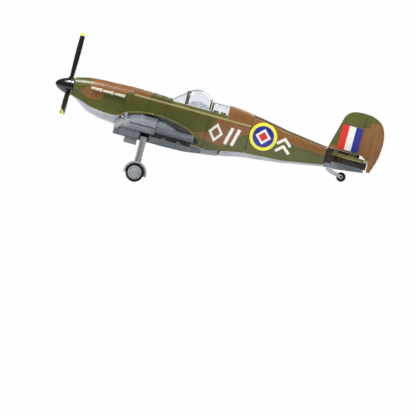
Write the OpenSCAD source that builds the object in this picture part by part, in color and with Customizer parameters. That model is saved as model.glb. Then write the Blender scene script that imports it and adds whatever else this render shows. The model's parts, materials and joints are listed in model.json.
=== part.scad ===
// Desk model of a low-wing propeller fighter, built from interlocking 8 mm stud bricks
// with smooth shell pieces over them. It stands parked on its main wheels and tail wheel.
// Inside every module, x runs aft from the spinner's tip along the thrust line, y runs to
// starboard and z up. parked() then sets the aircraft tail-down on its three wheels.

/* [Brick system] */
// Distance between two studs
pitch = 8; // [8:0.1:8.2]
// Height of one plate
plate_h = 3.2; // [3.1:0.05:3.3]
// Stud diameter
stud_d = 4.8; // [4.6:0.1:5]

/* [Stance] */
// Nose-up angle when parked
stance = 15; // [14.5:0.5:15.5]
// Main tyre radius
tyre_r = 8.3; // [8:0.1:8.6]
// Main tyre width
tyre_w = 4.9; // [4.5:0.1:5.1]
// Tail tyre radius
tail_tyre_r = 4.4; // [4.2:0.1:4.6]

/* [Propeller] */
// Radius of the propeller disc
prop_r = 51; // [46:1:52]
// Radius of the spinner's base
spinner_r = 8.5; // [8:0.1:8.7]
// Widest chord of a blade
blade_chord = 7.6; // [6.5:0.1:8]
// Number of blades
blade_count = 3; // [2:1:4]

/* [Wing] */
// Half of the wing span
half_span = 184; // [180:1:188]
// Dihedral angle of each wing
dihedral = 5.2; // [5:0.1:5.4]

/* [Movement clearances] */
// Radial gap of a pin or a shaft in its hole
running = 0.06; // [0.05:0.01:0.08]
// Gap between parts that pass each other
gap = 0.4; // [0.35:0.05:0.5]

/* [Hidden] */
$fn = 48;
hull_fn = 32;
stud_r = stud_d / 2;
stud_h = 1.7;
brick_h = 3 * plate_h;
core_y = pitch;             // half width of the two-stud core
cowl_x = 16.9;              // front face of the cowl
function at(n) = cowl_x + n * pitch;   // stud lattice along the fuselage

// Places along the thrust line
cowl_end = at(7);
screen_x = 109;
hood_front = at(13) + 1;
hood_rear = at(16) - 0.5;
sill_z = 11.6;
glaze_y = 6.7;               // the rear glazing stands inside the hood, which slides back over it
glaze_top = 19.9;
glaze_end = at(18);
bulkhead_x = at(16) - 3;
cone_x = at(21) - 0.5;
tail_x = at(30);
rudder_x = 286;

// Ride height: the main wheel's centre sets how high the spinner's tip stands
wheel_x = 91.6;
leg_y = 27.9;
leg_z = -27.5;
leg_splay = 6;
wheel_out = 6.9;            // wheel's middle, outboard of the leg
wheel_down = 34.8;          // axle, below the retraction hinge
tread = tyre_w / 2 - 1;     // half of the tyre's flat
wheel_z = leg_z + wheel_out * sin(leg_splay) - wheel_down * cos(leg_splay);
tyre_reach = tyre_r * norm([sin(stance), cos(stance) * cos(leg_splay)])
    + tread * cos(stance) * sin(leg_splay);
tip_height = wheel_x * sin(stance) - wheel_z * cos(stance) + tyre_reach;
tail_wheel_x = 276;
tail_wheel_z = (tail_tyre_r - tip_height + tail_wheel_x * sin(stance)) / cos(stance);
centre_x = 151.1;           // middle of the parked outline

// Propeller places
blade_x = 13;
spinner_end = 16.1;

// Wing frame
root_y = 14;
root_z = -21.5;
section_y = 41;             // outboard end of the thick centre section
skin_z = 0.4;               // underside of the top skin, in the wing frame
skin_top = 4.2;
front_plate_z = -4.5;       // underside of the front row of lower plates
rear_plate_z = -2.2;        // underside of the rear row
row_x = 100;                // join of the front and rear rows
tip_x = 97;                 // where leading and trailing edges meet
lead_depth = 36;
trail_depth = 44;
aileron_in = 107;
aileron_out = 155;
aileron_chord = 11;

// Undercarriage
leg_w = 5.6;
leg_d = 6.2;
leg_len = 27.5;
axle_r = 1.6;

// Tail
fin_half = 4;
plane_z = 1.4;               // underside of the tailplane's top plate
elevator_x = 286.5;
core_end = 294;             // back of the tail block, clear of the rudder
keel_x = 264;               // where the grey wedge under the tail block steps up
keel_top = -4.65;
elevator_in = 9;
elevator_out = 45;
hinge_r = 1.5;
pin_r = 0.85;               // hinge pins of the control surfaces

olive = "#5c5c2c";
brown = "#8c6440";
dark = "#232422";
grey = "#7d848c";
pale = "#a3a7ae";
clear = [0.86, 0.9, 0.94, 0.35];

// Reads a line given as places and values, with its corners eased
function eased(x, line) = (lookup(x - 3, line) + 2 * lookup(x, line) + lookup(x + 3, line)) / 4;
// Fuselage lines: height of the top, the shoulder, the side panel's lower edge and the belly
function top_z(x) = eased(x, [[cowl_x, 9.2], [22, 10.8], [30, 12.6], [42, 13.7], [54, 13.9],
    [71, 14.7], [94, 14.2], [screen_x, 13.5], [glaze_end, 21.2], [172, 20.4], [196, 16.8],
    [220, 12.3], [tail_x, 7.4]]);
function shoulder_z(x) = lookup(x, [[cowl_end, 8.8], [cone_x, 8.1], [tail_x, 3]]);
function low_z(x) = eased(x, [[cowl_x, -7.2], [24, -9.3], [36, -13.4], [51, -15.3], [66, -15],
    [80, -20.5], [136, -23.4], [150, -24.4], [175, -19.2], [cone_x, -17.8], [220, -15.8],
    [tail_x, -9.6]]);
function belly_z(x) = eased(x, [[cowl_x, -7.4], [20, -9], [27, -13.6], [34, -18.4], [46, -21.4],
    [66, -23.6], [150, -29], [162, -26.4], [183, -22.2], [217, -18.4], [tail_x, -11.2]]);
function half_y(x) = eased(x, [[cowl_x, 8.8], [22, 10.6], [30, 12], [45, 12.9], [72, 13.6],
    [110, 14], [150, 13.4], [cone_x, 12], [tail_x, 5.6]]);
function low_y(x) = eased(x, [[cowl_x, 7.3], [24, 9.6], [36, 12.8], [51, 14.2], [72, 14.5],
    [110, 14.4], [150, 12], [cone_x, 9.6], [tail_x, 4.6]]);

// Wing outline: two half ellipses that share the tip, in true distance from the middle
function round_off(y) = sqrt(max(0, 1 - pow(y / half_span, 2)));
function lead_x(y) = tip_x - lead_depth * round_off(y);
function trail_x(y) = tip_x + trail_depth * round_off(y);

// Sets a part that is drawn along the thrust line on its wheels
module parked() translate([-centre_x, 0, tip_height]) rotate([0, stance, 0]) children();
// Draws a starboard part on the side named: 1 is starboard, -1 is port
module side(s) mirror([0, s < 0 ? 1 : 0, 0]) children();
// The wing's own frame: y runs outboard along the dihedral
module on_wing(s) parked() side(s) translate([0, root_y, root_z]) rotate([dihedral, 0, 0])
    translate([0, -root_y, 0]) children();
// The leg's own frame: origin at the retraction hinge, -z down the leg
module on_leg(s) parked() side(s) translate([wheel_x, leg_y, leg_z]) rotate([leg_splay, 0, 0])
    children();
module stud(p) translate(p) cylinder(r = stud_r, h = stud_h);
module block(a, b) translate(a) cube(b - a);
// A solid swept through cross-sections: section(x) gives [y, z] points, same count each time
module loft(xs, section) {
    n = len(section(xs[0]));
    rows = len(xs);
    points = [for (x = xs) for (q = section(x)) [x, q[0], q[1]]];
    walls = [for (i = [0 : rows - 2]) for (j = [0 : n - 1]) let (k = (j + 1) % n)
        each [[i * n + j, i * n + k, (i + 1) * n + k], [i * n + j, (i + 1) * n + k, (i + 1) * n + j]]];
    caps = [[for (j = [n - 1 : -1 : 0]) j], [for (j = [0 : n - 1]) (rows - 1) * n + j]];
    polyhedron(points, concat(walls, caps));
}
function steps(a, b, n) = [for (i = [0 : n]) a + (b - a) * i / n];

// ---- Nose and fuselage shells ----
// Half section of the cowl between the middle and its lower edge, with a hollow for the core
function cowl_section(x) = let (a = half_y(x), t = top_z(x), b = low_z(x))
    concat([for (q = [0 : 7.5 : 90]) [a * pow(sin(q), 0.8), 1 + (t - 1) * pow(cos(q), 0.8)]],
    [[low_y(x) * 0.75 + a * 0.25, b / 4], [low_y(x), b / 2], [low_y(x), b], [min(core_y, a - 2.6), b],
    [min(core_y, a - 2.6), min(6, t - 5)], [0, min(t - 2.4, brick_h)]]);
module cowl(s) parked() side(s) loft([cowl_x, 17.6, each steps(19, cowl_end, 16)],
    function(x) cowl_section(x));
module cowl_shells() color(olive) for (s = [-1, 1]) cowl(s);
// Lower half of a hull section, from one side under the belly to the other
function keel(a, b, c) = [for (q = [90 : -15 : -90]) [a * sign(q) * pow(abs(sin(q)), 0.75),
    b + (c - b) * pow(abs(cos(q)), 0.75)]];
module chin_fairing() color(pale) parked() loft([18, each steps(19.5, 62, 12)],
    function(x) keel(low_y(x) - 0.1, low_z(x) - 0.12, belly_z(x)));
module nose_ring() color(pale) parked() difference() {
    union() {
        translate([cowl_x - 0.7, 0, 0]) rotate([0, 90, 0]) cylinder(r = 8, h = 0.65);
        translate([cowl_x - 0.1, 0, 0]) rotate([0, 90, 0]) cylinder(r = 5.9, h = 3);
    }
    translate([cowl_x - 2, 0, 0]) rotate([0, 90, 0]) cylinder(r = 3.2, h = 6);
}
// Ridge over the nose, from the cowl to the windscreen: rounded slopes one stud long
function deck_section(x) = let (t = top_z(x), s = shoulder_z(x) + 0.05, a = half_y(x) - 0.6)
    concat([[-a, s]], [for (q = [-72 : 9 : 72]) [a * sin(q) * 1.02, s + (t - s) * pow(cos(q), 0.6)]],
    [[a, s]]);
module nose_deck() color(brown) parked()
    for (n = [7 : 11]) loft(steps(at(n) + 0.1, min(at(n + 1) - 0.1, screen_x), 2),
        function(x) deck_section(x));
function panel_section(x) = let (s = shoulder_z(x), a = half_y(x), b = low_y(x), z = low_z(x))
    concat([[core_y, s], [a - 1.4, s]], [for (i = [0 : 6]) [a + (b - a) * i / 6 + 0.5 * sin(30 * i),
    s - 1.4 + (z - s + 1.4) * i / 6]], [[core_y, z]]);
module side_panel(s, from, to) parked() side(s)
    loft(steps(from + 0.1, to - 0.1, round((to - from) / 4)), function(x) panel_section(x));
module side_panels(s) for (e = [[7, 9], [9, 11], [11, 16]]) side_panel(s, at(e[0]), at(e[1]));
module front_side_panels() color(olive) for (s = [-1, 1]) side_panels(s);
module rear_panel(s) side_panel(s, at(16), cone_x);
module rear_side_panels() color(brown) for (s = [-1, 1]) rear_panel(s);
// Tail cone: one tapered shell a side, from the rear panels to the tail joint
function cone_section(x) = let (a = half_y(x), t = top_z(x) - 1.2, b = low_z(x), w = low_y(x))
    concat([for (q = [0 : 10 : 90]) [0.05 + (a - 0.05) * pow(sin(q), 0.85),
    0.2 * t + 0.8 * t * pow(cos(q), 0.85)]],
    [[a * 0.99 + 0.1, b * 0.3], [(a + w) / 2 + 0.4, b * 0.65], [w, b], [0.05, b]]);
cone_steps = steps(cone_x + 0.1, tail_x, 14);
module tail_cone(s) parked() side(s) loft(cone_steps, function(x) cone_section(x));
module tail_cone_shells() color(brown) for (s = [-1, 1]) tail_cone(s);
module spine_strip() color(olive) parked() loft(cone_steps, function(x)
    let (t = top_z(x), a = half_y(x) * 0.4) [[-a, t - 1.15], [-a * 0.7, t], [a * 0.7, t], [a, t - 1.15]]);
function spine_section(x) = let (t = top_z(x), s = shoulder_z(x) + 0.05, a = half_y(x) - 1.5)
    concat([[-a, s]], [for (q = [-80 : 10 : 80]) [a * sin(q) * 0.98, s + (t - s) * pow(cos(q), 0.5)]],
    [[a, s]]);
module spine() color(brown) parked() loft(steps(glaze_end + 0.1, cone_x, 5),
    function(x) spine_section(x));
// Grey strip that closes the fuselage underneath, behind the wing
module belly_rear() color(pale) parked() loft([162, each steps(166, cone_x - 4, 4), each cone_steps],
    function(x) keel(low_y(x) - 0.4, low_z(x) - 0.12, belly_z(x)));

// ---- Brick core ----
module bearing_brick() color(dark) parked() difference() {
    block([22, -6, -8.2], [37.9, 6, 5.4]);
    translate([20, 0, 0]) rotate([0, 90, 0]) cylinder(r = 2.4 + running, h = 12);
}
// Bricks behind the shells, from the nose bearing to the tail cone
module core_bricks() color(dark) parked() {
    block([38.1, -core_y + 0.1, -12.8], [at(4) - 0.1, core_y - 0.1, 1.9]);
    block([at(4) + 0.1, -core_y + 0.1, -14], [cowl_end - 0.1, core_y - 0.1, 1.9]);
    block([cowl_end + 0.1, -core_y + 0.1, -14], [screen_x - 1, core_y - 0.1, 8.3]);
    for (n = [5 : 2 : 13])
        block([max(at(n), 62.2), -core_y + 0.1, -22.4], [at(n + 2) - 0.1, core_y - 0.1, -14.1]);
    block([bulkhead_x + 0.05, -6.3, -14], [at(16) - 0.1, 6.3, 8]);
    block([at(16) + 0.1, -core_y + 0.1, -17], [cone_x - 0.1, core_y - 0.1, -8]);
    block([at(16) + 0.1, -core_y + 0.1, -7.9], [cone_x - 0.1, core_y - 0.1, 8]);
}
module cockpit_tub() color(dark) parked() {
    block([screen_x - 0.9, -core_y + 0.1, -14], [bulkhead_x - 0.05, core_y - 0.1, -10.8]);
    for (s = [-1, 1]) side(s) block([screen_x - 0.9, 6.4, -10.7], [at(16) - 0.1, core_y - 0.1, 8]);
}
// Seat, control stick and instrument panel
module cockpit_fittings() color("#3c3d3b") parked() {
    block([128, -4.6, -10.7], [141, 4.6, -7]);
    difference() {
        hull() {
            block([138.4, -4.6, -7], [141, 4.6, 2]);
            translate([138.4, 0, 3.6]) rotate([0, 90, 0]) cylinder(r = 3.4, h = 2.6, $fn = hull_fn);
        }
        block([138, -3, -3], [139.2, 3, 2]);
    }
    translate([123, 0, -10.7]) cylinder(r = 1.6, h = 10);
    translate([123, -2.4, -0.4]) rotate([-90, 0, 0]) cylinder(r = 1.2, h = 4.8);
    block([screen_x + 1.5, -6.3, 0], [screen_x + 4.7, 6.3, 8]);
    for (y = [-3.4, 0, 3.4]) translate([screen_x + 4.6, y, 5]) rotate([0, 90, 0])
        cylinder(r = 1.4, h = 0.7);
}
// Sill tiles: the deck that frames the cockpit and carries the glazing
module cockpit_sill() color(olive) parked() {
    difference() {
        loft([screen_x + 0.1, 120, 132, hood_rear, glaze_end], function(x)
            let (s = shoulder_z(x) + 0.05, a = half_y(x) - 1.6)
            [[-a, s], [-a + 1.8, sill_z], [a - 1.8, sill_z], [a, s]]);
        block([screen_x + 4, -6.4, 7], [hood_rear - 1, 6.4, 13]);
    }
    for (x = [149.6, 156.4]) stud([x, 0, sill_z - 0.1]);
}

// ---- Glazing ----
function arch(a, t, b) = concat([[-a, b]], [for (q = [-75 : 15 : 75]) [a * sin(q) * 1.02,
    b + (t - b) * pow(cos(q), 0.62)]], [[a, b]]);
module shell(xs, outer, wall) difference() {
    loft(xs, outer);
    loft([xs[0] - 0.01, each [for (i = [1 : len(xs) - 2]) xs[i]], xs[len(xs) - 1] + 0.01],
        function(x) [for (q = outer(x)) [q[0] * (1 - wall / 8), q[1] - wall]]);
}
function hood_top(x) = lookup(x, [[hood_front, 24.3], [126, 26.7], [130, 27.4], [135, 26.6],
    [140, 24.3], [hood_rear, 21.6]]);
module windscreen() color(clear) parked() shell([screen_x + 0.4, 113, 117, hood_front - 2.2],
    function(x) arch(4 + (x - screen_x) * 0.35, 14.2 + (x - screen_x) * 0.8, 11.7), 1);
// Opaque hoops at the back of the windscreen and the front of the rear glazing
module canopy_frames() color(olive) parked() {
    shell([hood_front - 2.1, hood_front - gap], function(x) arch(8.4, 24.4, 11.7), 1.3);
    shell([hood_rear + 0.4, hood_rear + 2], function(x) arch(glaze_y, glaze_top, 11.7), 1.3);
}
module hood() color(clear) parked() shell([hood_front + 0.05, 126, 130, 135, 140, hood_rear - 1.8],
    function(x) arch(8.4, hood_top(x), 11.9), 1);
module hood_frame() color(olive) parked() shell([hood_rear - 1.7, hood_rear - 0.1],
    function(x) arch(8.4, hood_top(x), 11.9), 1.3);
module rear_glazing() color(clear) parked() shell([hood_rear + 2.1, glaze_end],
    function(x) arch(glaze_y - 0.1, glaze_top - 0.1, 11.7), 1);

// ---- Propeller ----
// Pointed dome over the hub, grown by g at its skin
module dome(g) rotate([0, 90, 0]) rotate_extrude() polygon([[0, 0], [1.4 + g, 0.3], [3 + g, 2.2],
    [4.9 + g, 5.3], [6.5 + g, 9], [7.7 + g, 13], [spinner_r + g, spinner_end], [0, spinner_end]]);
module spinner() color("#141414") parked() difference() {
    dome(0);
    translate([9, 0, 0]) rotate([0, 90, 0]) cylinder(r = 2.4, h = 8);
}
module prop_shaft() color("#3a3b3c") parked() translate([9.05, 0, 0]) rotate([0, 90, 0])
    cylinder(r = 2.4 - 0.02, h = 21);
// One blade: a thin twisted plate with a rounded tip, standing up from the hub
function blade_point(r) = let (c = blade_chord / 2 * sin(min(90, 25 + (r - 7) * 3.2))
    * sqrt(max(0.06, 1 - pow(max(0, r - prop_r + 6) / 6.2, 2))), q = 40 + r * 0.35, h = 0.75)
    [[c * cos(q), c * sin(q)], [h * sin(q), -h * cos(q)], [-c * cos(q), -c * sin(q)],
    [-h * sin(q), h * cos(q)]];
module blade(from, to) rotate([0, -90, 0]) loft(steps(from, to, 5), function(r)
    [for (q = blade_point(r)) [q[1], -q[0] - blade_x]]);
module blades(from, to) for (i = [0 : blade_count - 1]) rotate([i * 360 / blade_count, 0, 0])
    blade(from, to);
module propeller_blades() color("#161616") parked() difference() {
    blades(5, prop_r - 3.05);
    dome(0.05);
}
module blade_tips() color("#f0e83c") parked() blades(prop_r - 3, prop_r);

// ---- Exhausts ----
module exhausts(s) parked() side(s) for (x = [33, 44, 55]) translate([x, half_y(x + 10) + 1.75, 4])
    rotate([0, 90, 0]) {
        cylinder(r1 = 1.05, r2 = 1.35, h = 8.6);
        translate([0, 0, 8.6]) cylinder(r = 1.7, h = 1.6);
        translate([0, -1.7, 1]) cube([0.8, 1.2, 7]);
    }
module exhaust_stubs() color("#d9d2bd") for (s = [-1, 1]) exhausts(s);

// ---- Wing ----
// Sweeps an aerofoil section spanwise: section(y) gives [x, z] points
module span_loft(ys, section) rotate([0, 0, 90]) loft(ys, function(y) [for (q = section(y)) [-q[0], q[1]]]);
function skin_section(y) = let (a = lead_x(y), b = trail_x(y), c = b - a,
    t = skin_z + (skin_top - skin_z) * (0.45 + 0.55 * round_off(y)))
    [[a, skin_z], [b, skin_z], [b, skin_z + 1.2], [a + c * 0.82, (t + skin_z + 1) / 2 + 0.15],
    [a + c * 0.62, t - 0.25], [a + c * 0.45, t - 0.05], [a + c * 0.3, t], [a + c * 0.15, t - 0.15],
    [a + 2.2, t - 0.5], [a + 0.9, t * 0.8], [a + 0.2, t * 0.55]];
// Where the aileron's hinge lies across the chord
function hinge_line(y) = let (a = trail_x(aileron_in), b = trail_x(aileron_out))
    a + (b - a) * (y - aileron_in) / (aileron_out - aileron_in) - aileron_chord;
aileron_sweep = atan((hinge_line(aileron_in) - hinge_line(aileron_out)) / (aileron_out - aileron_in));
// Plan of the aileron, grown by g on the sides that face the wing
module aileron_plan(g) {
    a = hinge_line(aileron_in - g);
    b = hinge_line(aileron_out + g);
    polygon([[a - g, aileron_in - g], [b - g, aileron_out + g], [b + 40, aileron_out + g],
        [a + 40, aileron_in - g]]);
}
module wing_skin(s) on_wing(s) difference() {
    span_loft([root_y + 1, 28, each steps(41, 110, 6), each steps(116, 170, 10)],
        function(y) skin_section(y));
    translate([0, 0, -1]) linear_extrude(8) aileron_plan(gap + hinge_r);
    aileron_rod(pin_r + running, 5.2);
}
module wing_tip(s) on_wing(s) span_loft([170.15, 173, 175.5, 178, 180, 181.6, 182.8, half_span - 0.4],
    function(y) skin_section(y));
module wing_skin_left() color(olive) {
    wing_skin(-1);
    wing_tip(-1);
}
module wing_skin_right() color(olive) {
    wing_skin(1);
    wing_tip(1);
}
// A rod on the aileron's hinge line, reaching past both of its ends by more
module aileron_rod(r, more) {
    span = (aileron_out - aileron_in) / cos(aileron_sweep);
    translate([hinge_line(aileron_in), aileron_in, skin_z + hinge_r]) rotate([0, 0, aileron_sweep])
        translate([0, -more, 0]) rotate([-90, 0, 0]) cylinder(r = r, h = span + 2 * more);
}
module aileron(s) on_wing(s) {
    aileron_rod(hinge_r, 0);
    aileron_rod(pin_r, 5);
    difference() {
        intersection() {
            span_loft([aileron_in, 120, 132, 144, aileron_out], function(y) skin_section(y));
            translate([0, 0, -1]) linear_extrude(8) aileron_plan(0);
        }
        translate([hinge_line(aileron_in), aileron_in - 1, skin_z + 2 * hinge_r])
            rotate([0, 0, aileron_sweep]) translate([-9, 0, 0]) cube([10, 60, 4]);
    }
}
module aileron_left() color(olive) aileron(-1);
module aileron_right() color(olive) aileron(1);
// Lower plates: a front row along the leading edge and a shallower rear row behind it
module front_plates(s) on_wing(s) for (e = [[section_y + 0.1, 57], [57.2, 73], [73.2, 97], [115.2, 137],
    [137.2, 158], [158.2, 174]]) translate([0, 0, front_plate_z]) linear_extrude(-front_plate_z - 1.2)
    polygon([[lead_x(e[0]) + 1, e[0]], [lead_x(e[1]) + 1, e[1]],
        [min(row_x - 0.1, trail_x(e[1]) - 6), e[1]], [min(row_x - 0.1, trail_x(e[0]) - 6), e[0]]]);
module wing_front_plates() color(grey) for (s = [-1, 1]) front_plates(s);
module rear_plates(s) on_wing(s) {
    for (y = [section_y + 0.1 : pitch : 97]) block([row_x + 0.1, y, rear_plate_z], [136, y + 7.8, -0.1]);
    for (y = [section_y + 0.1 + 8 * pitch : pitch : 150]) block([row_x + 0.1, y, rear_plate_z],
        [min(119, hinge_line(y + pitch) - 2), y + 7.8, -0.1]);
}
module wing_rear_plates() color(grey) for (s = [-1, 1]) rear_plates(s);
// Dark beam of plates between skin and lower plates, with rows of studs left open
module wing_beam(s) on_wing(s) {
    block([lead_x(57) + 5.5, root_y + 1, -1.1], [row_x, section_y, 0.3]);
    block([lead_x(97) + 3.5, section_y + 0.1, -1.1], [row_x, 97, 0.3]);
    block([lead_x(97) + 9, 97.1, -4.2], [row_x, 115, 0.3]);
    block([lead_x(158) + 3, 115.1, -1.1], [row_x, 158, 0.3]);
}
module wing_beams() color(dark) for (s = [-1, 1]) wing_beam(s);
// Gun bay between the front plates: a carrier with two round muzzles
module gun_bay(s) on_wing(s) {
    block([lead_x(100) + 1.5, 97.2, front_plate_z], [lead_x(97) + 8.9, 114.8, -1.3]);
    for (y = [101.5, 110.5]) translate([lead_x(106) - 1.2, y, -2.6]) rotate([0, 90, 0]) difference() {
        cylinder(r = 2.1, h = 5);
        translate([0, 0, -1]) cylinder(r = 1.1, h = 4);
    }
}
module gun_bays() color("#5a6066") for (s = [-1, 1]) gun_bay(s);
// Pointed gun fairings on the leading edge, outside and inside the gun bay
module gun_fairings(s) on_wing(s) for (y = [85.7, 134.5]) translate([lead_x(y) - 3.4, y, -4.8])
    rotate([90, 0, 90]) difference() {
        linear_extrude(2.6) polygon([[-3.4, 0], [3.4, 0], [3.4, 3], [0, 6], [-3.4, 3]]);
        translate([0, 2.7, -1]) cylinder(r = 1.3, h = 4);
    }
module gun_muzzle_fairings() color(pale) for (s = [-1, 1]) gun_fairings(s);
// Thick inner section, with the slot that the leg folds into
module centre_section(s) parked() side(s) difference() {
    union() {
        block([67.5, 8.8, -30], [89.8, section_y, -24.9]);
        block([90, 8.8, -30], [136, section_y, -24.9]);
        block([67.5, 8.8, -24.8], [136, section_y - 0.2, -23.7]);
    }
    block([wheel_x - 4.6, leg_y - 4.2, -31], [wheel_x + 4.6, section_y + 1, -22]);
}
module wing_centre_blocks() color(grey) for (s = [-1, 1]) centre_section(s);
module root_edge(s) on_wing(s) translate([0, 0, front_plate_z + 0.4]) linear_extrude(3)
    polygon([[lead_x(root_y) + 0.6, root_y - 3], [lead_x(39) + 0.6, 39.5], [lead_x(39) + 5, 39.5],
        [lead_x(root_y) + 5, root_y - 3]]);
module root_edges() color("#c4c8cd") for (s = [-1, 1]) root_edge(s);
module belly_centre() color(grey) parked() {
    difference() {
        block([62.5, -8.6, -31.5], [at(11), 8.6, -23]);
        block([64, -3.9, -32], [86, 3.9, -29.5]);
    }
    loft([at(11) + 0.1, 130, 146, 161], function(x) let (a = x < 131 ? 8.6 : 8.6 - (x - 130) * 0.15,
        b = min(-22.5, low_z(x) - 0.15), c = -31.7 + max(0, x - 125) * 0.13)
        [[a, b], [a, c], [-a, c], [-a, b]]);
}
module radiator() color("#6c737b") parked() difference() {
    block([74, 31, -33.4], [92 - 6, 39.4, -30.05]);
    for (z = [-32.7, -31.5]) block([73, 32, z], [77, 38.4, z + 0.8]);
}
module oil_cooler() color("#6c737b") parked() translate([74, -36.6, -32.6]) rotate([0, 90, 0])
    difference() {
        cylinder(r = 4, h = 12);
        translate([0, 0, -1]) cylinder(r = 2.7, h = 3);
        translate([-9, -6, -1]) cube([6.5, 12, 14]);
    }

// ---- Undercarriage ----
module leg_bracket(s) parked() side(s) difference() {
    for (x = [wheel_x - 4.5, wheel_x + leg_d / 2 + 0.1]) block([x, leg_y - 3.9, -31.4],
        [x + 1.2, leg_y + 3, -23.7]);
    translate([wheel_x - 6, leg_y, leg_z]) rotate([0, 90, 0]) cylinder(r = axle_r - 0.01, h = 12);
}
module leg_brackets() color(dark) for (s = [-1, 1]) leg_bracket(s);
module leg_pin(s) parked() side(s) translate([wheel_x - 4.5, leg_y, leg_z]) rotate([0, 90, 0])
    cylinder(r = axle_r - 0.03, h = 9);
module leg_pins() color("#4a4d50") for (s = [-1, 1]) leg_pin(s);
module gear_leg(s) on_leg(s) difference() {
    union() {
        rotate([0, 90, 0]) translate([0, 0, -leg_d / 2]) cylinder(r = 2.8, h = leg_d);
        block([-leg_d / 2, -leg_w / 2, -leg_len], [leg_d / 2, leg_w / 2, 0]);
        block([-leg_d / 2, -leg_w / 2, -wheel_down - 3], [leg_d / 2, -0.2, -leg_len]);
        translate([0, -leg_w / 2, -wheel_down]) rotate([-90, 0, 0]) cylinder(r = 4, h = leg_w / 2 - 0.2);
        translate([0, -0.3, -wheel_down]) rotate([-90, 0, 0]) cylinder(r = axle_r, h = wheel_out + 1.6);
    }
    rotate([0, 90, 0]) cylinder(r = axle_r + running, h = 20, center = true);
    block([-1.4, -leg_w, -leg_len + 3], [1.4, -leg_w / 2 + 1, -5]);
    block([-1.4, leg_w / 2 - 1, -leg_len + 3], [1.4, leg_w, -5]);
}
module gear_leg_left() color(pale) gear_leg(-1);
module gear_leg_right() color(pale) gear_leg(1);
module mudguard(s) on_leg(s) difference() {
    translate([0, -0.15, -wheel_down]) rotate([-90, 0, 0]) cylinder(r = 10.9, h = 9.25);
    translate([0, 3.6, -wheel_down]) rotate([-90, 0, 0]) cylinder(r = 9.3, h = 8);
    translate([0, -1, -wheel_down]) rotate([-90, 0, 0]) cylinder(r = 3.4, h = 8);
    block([-12, -1, -wheel_down - 12], [12, 12, -wheel_down - 1]);
    block([-leg_d / 2 - 0.02, -1, -leg_len], [leg_d / 2 + 0.02, leg_w / 2 + 0.02, -leg_len + 8]);
}
module mudguard_left() color(grey) mudguard(-1);
module mudguard_right() color(grey) mudguard(1);
module at_wheel(s) on_leg(s) translate([0, wheel_out, -wheel_down]) rotate([-90, 0, 0])
    translate([0, 0, -tyre_w / 2]) children();
module wheel_rim(s) at_wheel(s) difference() {
    cylinder(r = 6.3, h = tyre_w);
    translate([0, 0, tyre_w - 1]) cylinder(r = 5, h = 2);
    translate([0, 0, -1]) cylinder(r = axle_r + running, h = 9);
}
module wheel_rim_left() color(pale) wheel_rim(-1);
module wheel_rim_right() color(pale) wheel_rim(1);
module tyre(s) at_wheel(s) rotate_extrude() polygon([[6.3, 0], [tyre_r - 0.9, 0], [tyre_r, 1],
    [tyre_r, tyre_w - 1], [tyre_r - 0.9, tyre_w], [6.3, tyre_w]]);
module tyre_left() color("#181818") tyre(-1);
module tyre_right() color("#181818") tyre(1);

// ---- Tail ----
// Dark plates under each tailplane, in one with the tail block
module plane_under(s) side(s) translate([0, 0, plane_z - 4.6]) linear_extrude(4.5)
    polygon([[266, fin_half - 0.1], [269, 30], [274, 42], [elevator_x - 3, 42],
        [elevator_x - 3, fin_half - 0.1]]);
module tail_core() color("#33261d") parked() {
    difference() {
        union() {
            block([tail_x + 0.3, -fin_half, -7], [keel_x, fin_half, 7.2]);
            block([keel_x - 0.1, -fin_half, keel_top], [elevator_x - 1.5, fin_half, 7.2]);
            block([elevator_x - 1.6, -fin_half, keel_top], [core_end, fin_half, 2.2]);
            block([core_end - 0.1, -2, keel_top], [core_end + 1.9, 2, 2.2]);
            block([elevator_x - 1.6, -2, 2.1], [rudder_x + 1.7, 2, 7.2]);
            for (s = [-1, 1]) plane_under(s);
        }
        translate([rudder_x, 0, 0]) cylinder(r = pin_r + running, h = 20);
    }
}
module fin_plan() {
    polygon([[tail_x + 0.3, 7.3], [265.2, 37.6], [266.6, 40.4], [268.6, 42.6], [271.4, 44.3],
        [275, 45.4], [281, 46], [286, 45.9], [290, 45.3], [293.6, 44.2], [297, 42.6], [299.8, 40.5],
        [301.9, 38], [303.6, 34.8], [304.8, 31], [305.6, 26.5], [305.9, 22], [305.7, 16.5],
        [305, 10.5], [303.6, 4.2], [300, -6.2], [296.8, -6.1], [296.5, 2.4], [289.5, 7.3]]);
}
module slab(from, to) translate([0, fin_half, 0]) rotate([90, 0, 0]) linear_extrude(2 * fin_half)
    intersection() {
        fin_plan();
        translate([from, -20]) square([to - from, 80]);
    }
module fin() color(olive) parked() difference() {
    slab(tail_x - 1, rudder_x - 0.5);
    translate([rudder_x, 0, 0]) cylinder(r = fin_half + 0.15, h = 60);
}
// Its front edge is a half round on the hinge line, as thick as the fin
module rudder() color(brown) parked() {
    slab(rudder_x, 310);
    translate([rudder_x, 0, 7.4]) cylinder(r = fin_half - 0.05, h = 38);
    translate([rudder_x, 0, 3]) cylinder(r = pin_r, h = 10);
}
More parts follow.
